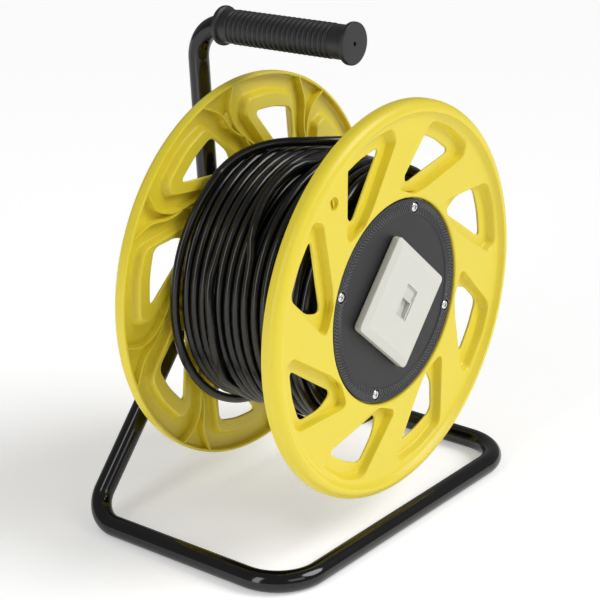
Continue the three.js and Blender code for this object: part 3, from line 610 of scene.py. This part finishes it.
# ---------------------------------------------------------------- centre panels
# Round discs in matt black plastic, screwed over both ends of the barrel. Each has a moulded
# anti-slip band of fine slanting ridges round its edge and a smooth middle, a little sunk.
PANEL_FACE = 0.0695
PANEL_THICKNESS = 0.003
SCREW_CIRCLE = 0.0705
FIRST_SCREW = 71.0                     # degrees from +X towards +Z
OUTLET_TURN = 40.4                     # degrees that the outlet plate stands turned on the panel
RIDGES = 170
RIDGE_HEIGHT = 0.34                    # this and the band's two radii are in millimetres
BAND_INNER, BAND_OUTER = 66.4, 76.0

panel_plastic = grained("black panel plastic", (0.011, 0.0115, 0.013), 0.50, colour_variation=0.18,
                        roughness_variation=0.10, grain=1500, blotch=45, bump=0.35)
# the ridge tops take a lighter plastic: a painted highlight that stands in for the light the fine ridges
# catch
ridge_highlight_plastic = grained("ridge tops with painted highlight", (0.060, 0.062, 0.068), 0.42, colour_variation=0.3,
                        roughness_variation=0.15, grain=1500, blotch=90, bump=0.3)


def screw_places():
    for k in range(4):
        angle = math.radians(FIRST_SCREW + 90 * k)
        yield SCREW_CIRCLE * 1000 * math.cos(angle), SCREW_CIRCLE * 1000 * math.sin(angle)


def ridge_height(radius, angle):
    """Two rings of slanting ridges, leaning opposite ways, in millimetres proud of the band."""
    share = (radius - BAND_INNER) / (BAND_OUTER - BAND_INNER)
    if share <= 0 or share >= 1:
        return 0.0
    lean = 2 * math.pi * 2.6 * abs(share - 0.5)
    wave = math.sin(RIDGES * angle + lean)
    edge = smooth(min(share, 1 - share) * 10)
    here = (radius * math.cos(angle), radius * math.sin(angle))
    clear = min(math.dist(here, at) for at in screw_places())
    return RIDGE_HEIGHT * wave * edge * smooth((clear - 4.6) / 1.2)


def panel(side, opening):
    """One panel; side is -1 for the outlet end. Ridges are real, on a fine polar grid."""
    m = Moulding()
    face, back = side * PANEL_FACE * 1000, side * (PANEL_FACE - PANEL_THICKNESS) * 1000
    sunk = face - side * 0.5
    sides = 1440
    angles = 2 * math.pi * np.arange(sides) / sides
    rows = []
    for radius in np.linspace(66.2, 76.2, 25):
        first = len(m.points)
        for angle in angles:
            rise = ridge_height(radius, angle)
            m.points.append((radius * math.cos(angle), face + side * rise, radius * math.sin(angle)))
        rows.append(list(range(first, first + sides)))
    holes = [ring_of(4.3, 40) + np.array(at) for at in screw_places()]
    keep = []
    m.skin(rows)
    for quad in m.faces:
        middle = np.mean([m.points[i] for i in quad], axis=0)
        if all(math.dist((middle[0], middle[2]), at) > 4.9 for at in screw_places()):
            keep.append(quad)
    m.faces = keep
    # the smooth collars round the counterbores lie a hair above the band's own flat
    for at, hole in zip(screw_places(), holes):
        centre = np.array(at)
        collar = [ring_of(r, 40) + centre for r in (5.7, 5.2, 4.5, 4.3, 4.3, 1.9)]
        depths = (-0.30, 0.10, 0.10, -0.08, -1.7, -1.7)
        m.skin([m.row(outline, face + side * depth) for outline, depth in zip(collar, depths)])
    m.skin([m.row(ring_of(r, sides), y) for r, y in
            ((76.2, face), (76.5, face - side * 0.1), (76.6, face - side * 0.4), (76.6, back))])
    m.skin([m.row(ring_of(r, sides), y) for r, y in
            ((66.2, face), (65.9, face - side * 0.06), (65.6, sunk + side * 0.05), (65.2, sunk))])
    m.flat(ring_of(65.2, sides), [opening], sunk)
    m.skin([m.row(opening, sunk), m.row(opening, back)])
    m.flat(ring_of(76.6, sides), [opening], back)
    return m


square_corners = np.array([(-27, -27), (27, -27), (27, 27), (-27, 27)], float)
along_side = np.linspace(0, 1, 8, endpoint=False)[:, None]
square = np.concatenate([corner + (square_corners[(i + 1) % 4] - corner) * along_side
                         for i, corner in enumerate(square_corners)])
for panel_name, side, opening in (("outlet_panel", -1, swung(square, -OUTLET_TURN)),
                                  ("rear_panel", 1, ring_of(13.0, 64))):
    made = panel(side, opening)
    if side > 0:
        # the rear panel also has a boss for its bush, and eight ribs that run out from it
        made.turn([(8.3, 50), (13, 50), (13, 66.5)], 64)
        made.turn([(13.0, 69.0), (16.6, 69.5), (16.2, 71), (13.6, 77.6), (13.0, 78.2), (12.4, 78.3),
                   (8.8, 78.3), (8.3, 77.8), (8.3, 50)], 64)
        for k in range(8):
            spoke = math.radians(22.5 + 45 * k)
            side_step = Vector((-math.sin(spoke), 0, math.cos(spoke)))
            corners = []
            for radius, y in ((14, 69.2), (14, 74.5), (30, 70.6), (60, 69.9), (60, 69.0)):
                for half in (-0.9, 0.9):
                    corners.append((radius * math.cos(spoke) + side_step.x * half, y,
                                    radius * math.sin(spoke) + side_step.z * half))
            first = len(made.points)
            made.points += corners
            made.faces += [(n, n + 2, n + 3, n + 1) for n in range(first, first + 8, 2)]
            made.faces += [tuple(range(first + 8, first - 1, -2)), tuple(range(first + 1, first + 10, 2)),
                           (first + 8, first, first + 1, first + 9)]
    # faces standing proud of the band get the lighter ridge-top plastic, a painted highlight
    tops = []
    for number, face in enumerate(made.faces):
        x, y, z = np.mean([made.points[i] for i in face], axis=0)
        if len(face) == 4 and (y - side * PANEL_FACE * 1000) * side > 0.04 and math.hypot(x, z) > 66:
            tops.append(number)
    new_piece(panel_name + "_disc", made.metres(), made.faces, [panel_plastic, ridge_highlight_plastic], "drum",
              panel_name, sharp=32, place=at_hub(), second=tops)

# ---------------------------------------------------------------- screws
# Small pan-head screws, bright zinc plated, four at each end. They go through the panel and the
# flange into the barrel's bosses, and each head has a crossed driver recess.
zinc = grained("bright zinc plate", (0.72, 0.73, 0.75), 0.22, colour_variation=0.10,
               roughness_variation=0.18, grain=2600, blotch=160, bump=0.25, metallic=1.0)


def screw_head(turn):
    """A domed head of 7.4 mm with a cross sunk in it, its top facing -Y, about the origin."""
    m = Moulding()
    sides = 48
    m.turn([(1.5, 0.2), (3.5, 0.2), (3.7, 0.05), (3.72, -0.35), (3.6, -0.85), (3.25, -1.35),
            (2.75, -1.68), (2.3, -1.86)], sides)
    arm, reach = 0.42, 2.0
    cross = [(arm, arm), (reach, arm), (reach, -arm), (arm, -arm), (arm, -reach), (-arm, -reach),
             (-arm, -arm), (-reach, -arm), (-reach, arm), (-arm, arm), (-arm, reach), (arm, reach)]
    cross = swung(np.array(cross), turn)
    m.flat(ring_of(2.3, sides), [cross], -1.86)
    m.skin([m.row(cross, -1.86), m.row(cross * 0.82, -0.6)])
    m.flat(cross * 0.82, [], -0.6)
    m.flat(ring_of(1.5, sides), [], 0.2)
    return m


for k in range(4):
    angle = math.radians(FIRST_SCREW + 90 * k)
    for kind, side in (("panel_screw", -1), ("rear_screw", 1)):
        head = screw_head(17 + 31 * k)
        x, z = SCREW_CIRCLE * math.cos(angle), SCREW_CIRCLE * math.sin(angle)
        under = side * (PANEL_FACE - 0.0016)
        place = Matrix.Translation((x, under, z))
        if side > 0:
            place = place @ Matrix.Rotation(math.pi, 4, "Z")
        new_piece(f"{kind}_{k + 1}_head", head.metres(), head.faces, [zinc], "drum",
                  f"{kind}_{k + 1}", sharp=40, place=at_hub(place))

# ---------------------------------------------------------------- outlet
# A square outlet plate in off-white plastic, turned on the panel as the real one is, with sloping
# edges and a socket insert whose sprung shutter slides up behind the plate.
cover_plastic = grained("off-white outlet plastic", (0.66, 0.655, 0.60), 0.34, colour_variation=0.03,
                        roughness_variation=0.08, grain=2200, blotch=40, bump=0.12)
insert_plastic = grained("off-white insert plastic", (0.62, 0.615, 0.565), 0.40, colour_variation=0.03,
                         roughness_variation=0.08, grain=2200, blotch=60, bump=0.15)
OUTLET = Matrix.Rotation(math.radians(OUTLET_TURN), 4, "Y")


def square_outline(half, radius, x=0.0, z=0.0, half_height=None, steps=8):
    tall = half if half_height is None else half_height
    outline = []
    for k, (sx, sz) in enumerate(((1, 1), (-1, 1), (-1, -1), (1, -1))):
        for i in range(steps + 1):
            angle = math.radians(90 * k + 90 * i / steps)
            outline.append((x + sx * (half - radius) + radius * math.cos(angle),
                            z + sz * (tall - radius) + radius * math.sin(angle)))
    return np.array(outline)


def cover_plate():
    m = Moulding()
    side = [(37.4, 3.4, -69.8), (37.75, 3.8, -70.3), (38, 4, -71), (38, 4, -74.9), (37.9, 3.9, -75.4),
            (37.6, 3.6, -75.75), (37.2, 3.4, -75.95), (32.3, 2.6, -77.40), (31.8, 2.3, -77.52),
            (31.2, 2.0, -77.60)]
    m.skin([m.row(square_outline(half, radius), y) for half, radius, y in side])
    opening = square_outline(8.02, 0.6, 1.8, 1.9, 12.02)
    eased_opening = square_outline(8.25, 0.8, 1.8, 1.9, 12.25)
    m.flat(square_outline(31.2, 2.0), [eased_opening], -77.60)
    m.skin([m.row(eased_opening, -77.60), m.row(opening, -77.35), m.row(opening, -75.2)])
    m.flat(square_outline(35, 2.0), [opening], -75.2)
    m.skin([m.row(square_outline(35, 2.0), -75.2), m.row(square_outline(35, 2.0), -69.8)])
    m.flat(square_outline(37.4, 3.4), [square_outline(35, 2.0)], -69.8)
    return m


plate = cover_plate()
new_piece("outlet_cover_plate", plate.metres(), plate.faces, [cover_plastic], "drum", "outlet_cover",
          sharp=28, place=at_hub(OUTLET))


def soften(node, width, material, segments=2):
    """A carried-over piece keeps its mesh and gets eased edges and its own finish."""
    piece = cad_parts[node]
    piece.data.materials.clear()
    piece.data.materials.append(material)
    for slot_of_piece in piece.material_slots:
        slot_of_piece.material = material
    bevel = piece.modifiers.new("eased edges", "BEVEL")
    bevel.width = width
    bevel.segments = segments
    bevel.limit_method = "ANGLE"
    bevel.angle_limit = math.radians(40)
    bevel.harden_normals = False


soften("jack_housing", 0.00018, insert_plastic)
soften("dust_shutter", 0.00018, insert_plastic)
soften("mounting_frame", 0.0002, zinc)

# ---------------------------------------------------------------- barrel and inner parts
# The barrel is a black moulded tube between the flanges. Inside it are the outlet's back box, the
# lead from there to a rubber grommet, and the nylon bushes that turn on the axle.
barrel_plastic = grained("black barrel plastic", (0.030, 0.031, 0.033), 0.5, colour_variation=0.15,
                         grain=1400, blotch=40, bump=0.3)
grommet_rubber = grained("black grommet rubber", (0.018, 0.018, 0.019), 0.6, colour_variation=0.2,
                         grain=1800, blotch=80, bump=0.35)
nylon = grained("natural nylon", (0.62, 0.60, 0.53), 0.42, colour_variation=0.04, grain=1800,
                blotch=60, bump=0.2)
soften("drum_core", 0.0003, barrel_plastic)
soften("outlet_box", 0.0005, barrel_plastic)
soften("cable_grommet", 0.0003, grommet_rubber)
soften("inner_lead", 0.0001, sheath)
soften("front_bush", 0.0002, nylon)
soften("rear_bush", 0.0002, nylon)

# ---------------------------------------------------------------- stand
# One round steel tube, 16 mm across, bent on a former and welded behind the hub plate, and a
# second one that carries the hand grip. Both have a gloss black coat.
TUBE_RADIUS, TUBE_BORE = 0.008, 0.0067
BASE_SIDE, BASE_FRONT, BASE_BACK = 0.1474, -0.0991, 0.0883
BASE_BENDS = (0.024, 0.036, 0.036, 0.024)
POST_BEND = 0.027
LEG_STOPS_SHORT = 0.024                # of the drum's axis, along the leg
POST_STARTS_ABOVE = 0.015              # the drum's axis
ARM_TOP_BACK, ARM_FRONT_END = (0.1008, 0.1826), (-0.047, 0.1868)

paint = grained("gloss black coat", (0.003, 0.003, 0.0035), 0.11, colour_variation=0.2,
                roughness_variation=0.08, grain=420, blotch=30, bump=0.10, bump_depth=0.00012)


def bent_line(corners, radii, bend_steps=20):
    """A centreline of straight runs and round bends."""
    line = [Vector(corners[0])]
    for i in range(1, len(corners) - 1):
        here = Vector(corners[i])
        back = (Vector(corners[i - 1]) - here).normalized()
        ahead = (Vector(corners[i + 1]) - here).normalized()
        turn = math.pi - back.angle(ahead)
        reach = radii[i - 1] * math.tan(turn / 2)
        middle_way = (back + ahead).normalized()
        centre = here + middle_way * (radii[i - 1] / math.cos(turn / 2))
        start = here + back * reach - centre
        axis = start.cross(here + ahead * reach - centre).normalized()
        for k in range(bend_steps + 1):
            line.append(centre + Matrix.Rotation(turn * k / bend_steps, 3, axis) @ start)
    line.append(Vector(corners[-1]))
    return line


def tube_along(line, radius, bore, sides=48):
    """A hollow tube, its section carried along without twist, with eased open ends."""
    tangents = []
    for i in range(len(line)):
        tangents.append((line[min(i + 1, len(line) - 1)] - line[max(i - 1, 0)]).normalized())
    side = tangents[0].orthogonal().normalized()
    points, faces, rows = [], [], []

    def station(i, size, along=0.0):
        first = len(points)
        up = tangents[i].cross(side)
        for k in range(sides):
            angle = 2 * math.pi * k / sides
            outward = math.cos(angle) * side + math.sin(angle) * up
            points.append(line[i] + tangents[i] * along + size * outward)
        rows.append(list(range(first, first + sides)))

    station(0, bore, 0.02)
    station(0, bore, 0.0)
    station(0, radius - 0.0003, 0.0)
    station(0, radius, 0.0003)
    for i in range(len(line)):
        side = (side - tangents[i] * side.dot(tangents[i])).normalized()
        if 0 < i < len(line) - 1:
            station(i, radius)
    last = len(line) - 1
    station(last, radius, -0.0003)
    station(last, radius - 0.0003, 0.0)
    station(last, bore, 0.0)
    station(last, bore, -0.02)
    for lower, upper in zip(rows, rows[1:]):
        for k in range(sides):
            after = (k + 1) % sides
            faces.append((lower[k], lower[after], upper[after], upper[k]))
    faces.append(rows[0])
    faces.append(rows[-1])
    return points, faces


leg_share = LEG_STOPS_SHORT / math.hypot(BASE_SIDE, HUB.z - TUBE_RADIUS)
leg_x, leg_z = BASE_SIDE * leg_share, HUB.z - (HUB.z - TUBE_RADIUS) * leg_share
base_corners = [
    (-leg_x, BASE_BACK, leg_z), (-BASE_SIDE, BASE_BACK, TUBE_RADIUS),
    (-BASE_SIDE, BASE_FRONT, TUBE_RADIUS), (BASE_SIDE, BASE_FRONT, TUBE_RADIUS),
    (BASE_SIDE, BASE_BACK, TUBE_RADIUS), (leg_x, BASE_BACK, leg_z),
]
base_points, base_faces = tube_along(bent_line(base_corners, BASE_BENDS), TUBE_RADIUS, TUBE_BORE)
new_piece("base_tube", base_points, base_faces, [paint], "stand", "base_frame")

post_lean = (ARM_TOP_BACK[0] - BASE_BACK) / ARM_TOP_BACK[1]
post_foot = (0, BASE_BACK + post_lean * POST_STARTS_ABOVE, HUB.z + POST_STARTS_ABOVE)
post_top = (0, ARM_TOP_BACK[0], HUB.z + ARM_TOP_BACK[1])
arm_front = (0, ARM_FRONT_END[0], HUB.z + ARM_FRONT_END[1])
arm_tip = Vector(arm_front) + (Vector(post_top) - Vector(arm_front)).normalized() * 0.005
post_line = bent_line([post_foot, post_top, arm_tip], [POST_BEND])
post_points, post_faces = tube_along(post_line, TUBE_RADIUS, TUBE_BORE)
new_piece("handle_tube", post_points, post_faces, [paint], "stand", "handle_post")
soften("hub_bracket", 0.0006, paint, 3)

# ---------------------------------------------------------------- hand grip
# A push-on grip in black rubber with twenty rounded ribs, a plain collar and a flange at each
# end, and a small vent hole in its closed front face.
rubber = grained("black grip rubber", (0.013, 0.0135, 0.015), 0.42, colour_variation=0.22,
                 roughness_variation=0.12, grain=1500, blotch=60, bump=0.3)
GRIP_LENGTH = 121.3                    # millimetres


def grip_profile():
    """(radius, distance from the rear end) in millimetres."""
    profile = [(8.4, 0), (14.4, 0), (14.9, -0.3), (15, -0.9), (15, -2.2), (14.8, -2.9), (14.2, -3.3),
               (12.75, -3.9), (12.75, -10.6), (12.5, -11.4)]
    for rib in range(20):
        for k in range(12):
            turn = 2 * math.pi * k / 12
            along = 12 + 4.6 * (rib + k / 12)
            profile.append((11.75 + 1.35 * (0.5 - 0.5 * math.cos(turn)) ** 0.7, -along))
    profile += [(11.8, -104.2), (12.5, -105.2), (12.75, -106), (12.75, -115.4), (13.0, -116.2),
                (14.2, -116.9), (15.3, -117.4), (15.6, -117.9), (15.7, -118.6), (15.7, -120.2),
                (15.55, -120.8), (15.1, -121.2), (14.5, -GRIP_LENGTH), (2.1, -GRIP_LENGTH), (1.6, -121.1),
                (1.5, -120.6), (1.5, -117.8), (8.4, -117.8)]
    return [(radius * 0.001, along * 0.001) for radius, along in profile]


def turned(profile, sides):
    """Points and faces of a closed profile of (radius, y) turned about the y axis."""
    points, faces, rows = [], [], []
    for radius, y in profile:
        rows.append(list(range(len(points), len(points) + sides)))
        for i in range(sides):
            angle = 2 * math.pi * i / sides
            points.append((radius * math.cos(angle), y, radius * math.sin(angle)))
    for lower, upper in zip(rows, rows[1:] + rows[:1]):
        for i in range(sides):
            k = (i + 1) % sides
            faces.append((lower[i], lower[k], upper[k], upper[i]))
    return points, faces


arm_slope = math.atan2(ARM_FRONT_END[1] - ARM_TOP_BACK[1], ARM_TOP_BACK[0] - ARM_FRONT_END[0])
grip_start = (0, ARM_FRONT_END[0] + GRIP_LENGTH * 0.001 * math.cos(arm_slope),
              HUB.z + ARM_FRONT_END[1] - GRIP_LENGTH * 0.001 * math.sin(arm_slope))
grip_points, grip_faces = turned(grip_profile(), 96)
grip_place = Matrix.Translation(grip_start) @ Matrix.Rotation(-arm_slope, 4, "X")
new_piece("grip_sleeve", grip_points, grip_faces, [rubber], "stand", "hand_grip", sharp=50,
          place=grip_place)

# ---------------------------------------------------------------- axle and its fixings
# A steel axle bolted through the hub plate. Plated washers and nuts hold it at the back and keep
# the drum on it at the front, and a sleeve spaces the drum off the plate.
steel = grained("plated axle steel", (0.56, 0.57, 0.59), 0.30, colour_variation=0.12,
                roughness_variation=0.2, grain=2200, blotch=120, bump=0.3, metallic=1.0)
soften("axle", 0.0006, steel)
soften("axle_nut", 0.0007, steel)
soften("lock_nut", 0.0006, steel)
for plain_ring in ("axle_washer", "front_washer", "rear_washer", "spacer_sleeve"):
    soften(plain_ring, 0.0003, steel)

# ---------------------------------------------------------------- plug
# A small pale data plug on the loose end, with a black boot that keeps the cable from kinking
# where it enters.
boot_plastic = grained("black boot plastic", (0.02, 0.02, 0.021), 0.5, colour_variation=0.2, grain=1600,
                       blotch=80, bump=0.3)
soften("plug_boot", 0.0004, boot_plastic)
plug_plastic = grained("pale plug plastic", (0.80, 0.83, 0.84), 0.10, colour_variation=0.03,
                       grain=2000, blotch=50, bump=0.1)
soften("plug_body", 0.0005, plug_plastic)
